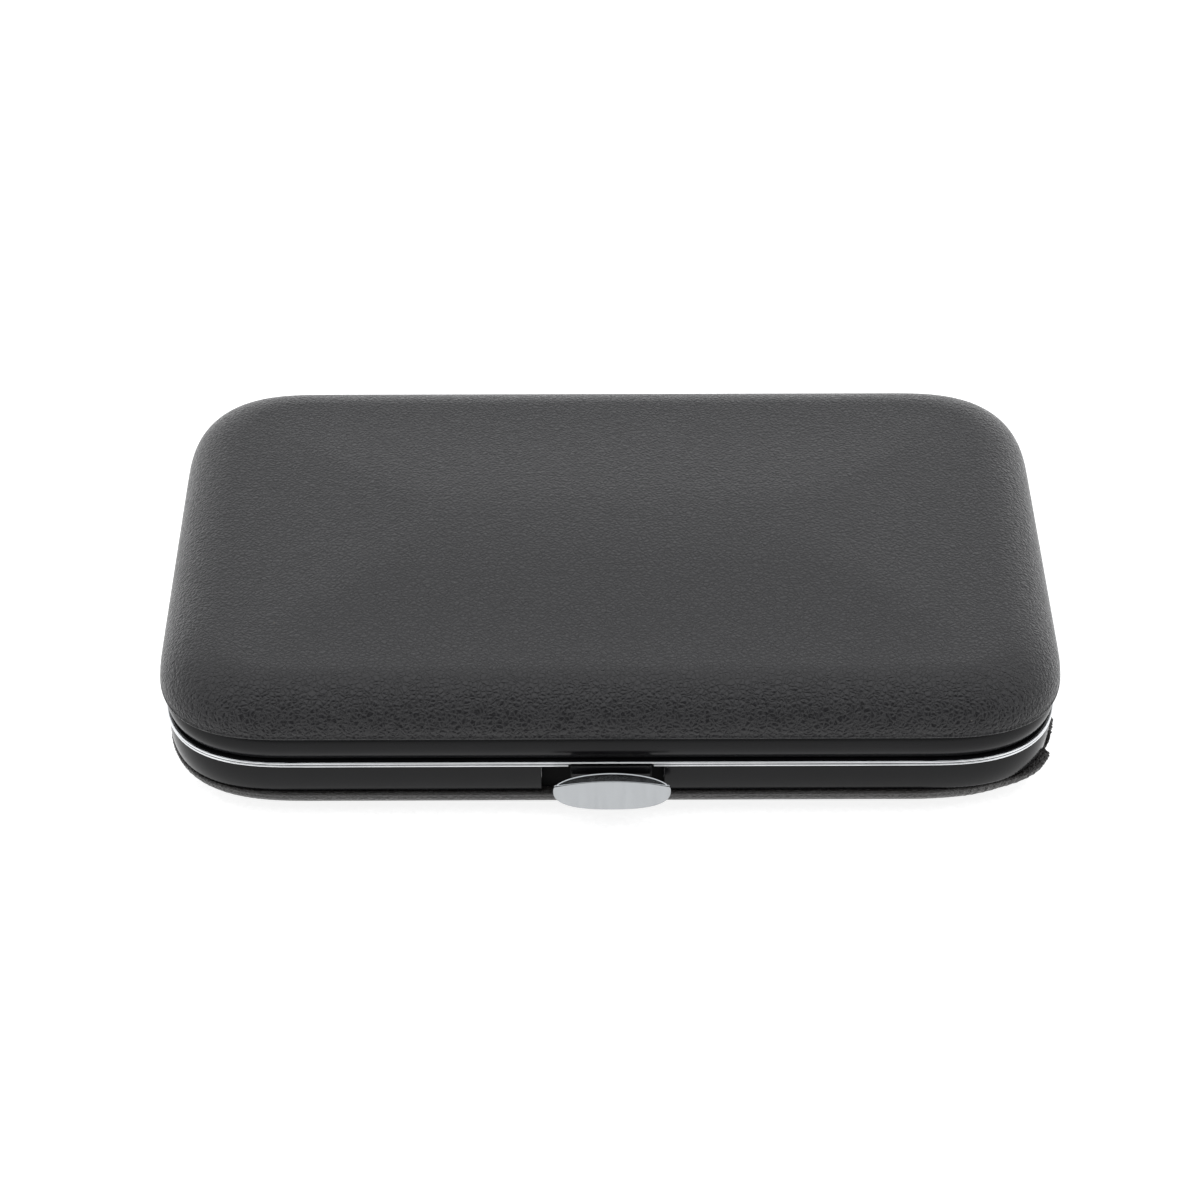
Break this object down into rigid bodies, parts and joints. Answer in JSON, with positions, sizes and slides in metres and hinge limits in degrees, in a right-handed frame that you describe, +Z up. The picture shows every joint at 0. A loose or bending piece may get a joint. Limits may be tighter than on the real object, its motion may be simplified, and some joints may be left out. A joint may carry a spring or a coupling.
{
  "type": "manicure set case",
  "caption": "Hinged manicure case with padded black leather covers, chrome rim, black band and oval press latch, holding scissors, file, tweezers and cuticle pusher under loops",
  "frame": {"origin": "middle of the flat face the closed case rests on", "axes": "+X along the width and the hinge line, +Y from the latch at the front to the hinge at the back, +Z up"},
  "size_m": [0.118, 0.0796, 0.0215],
  "materials": {
    "leather_black": "fine pebble grain, satin",
    "foam": "open foam",
    "board": "pressed grey board",
    "band_black": "satin black",
    "chrome": "bright plated",
    "steel": "polished stainless",
    "lining": "short suede nap",
    "strap": "smooth",
    "plastic_black": "moulded"
  },
  "bodies": {
    "base": {"bottom_cover_leather": "leather_black", "bottom_foam_pad": "foam", "bottom_board": "board", "lower_band": "band_black", "lower_frame": "chrome", "base_rivets": "steel", "base_lining": "lining", "tool_card": "lining", "scissor_loops": "strap", "tweezer_loop": "strap", "hinge_pin": "steel", "latch_guide": "plastic_black", "latch_shroud": "plastic_black", "latch_spring": "steel", "scissor_half_a": "steel", "scissor_screw": "chrome", "tweezers": "steel"},
    "lid": {"top_cover_leather": "leather_black", "top_foam_pad": "foam", "top_board": "board", "upper_band": "band_black", "upper_frame": "chrome", "lid_rivets": "steel", "lid_lining": "lining", "lid_loops": "strap", "file_blade": "steel", "file_handle": "plastic_black", "cuticle_pusher": "steel"},
    "latch": {"latch_tongue": "band_black", "thumb_plate": "chrome", "latch_hook": "steel", "latch_rivets": "steel"},
    "scissor_arm": {"scissor_half_b": "steel"}
  },
  "joints": [
    {"name": "lid_hinge", "type": "hinge", "parent": "base", "child": "lid", "pos_m": [0, 0.0379, 0.0093], "axis": [-1, 0, 0], "range_deg": [0, 110]},
    {"name": "latch_press", "type": "slide", "parent": "base", "child": "latch", "axis": [0, 1, 0], "range_m": [0, 0.0012], "stiffness_N_per_m": 1200, "springref_m": -0.001, "deforming": ["latch_spring"]},
    {"name": "scissor_pivot", "type": "hinge", "parent": "base", "child": "scissor_arm", "pos_m": [0.016, 0.003, 0.0075], "axis": [0, 0, 1], "range_deg": [0, 14]}
  ]
}
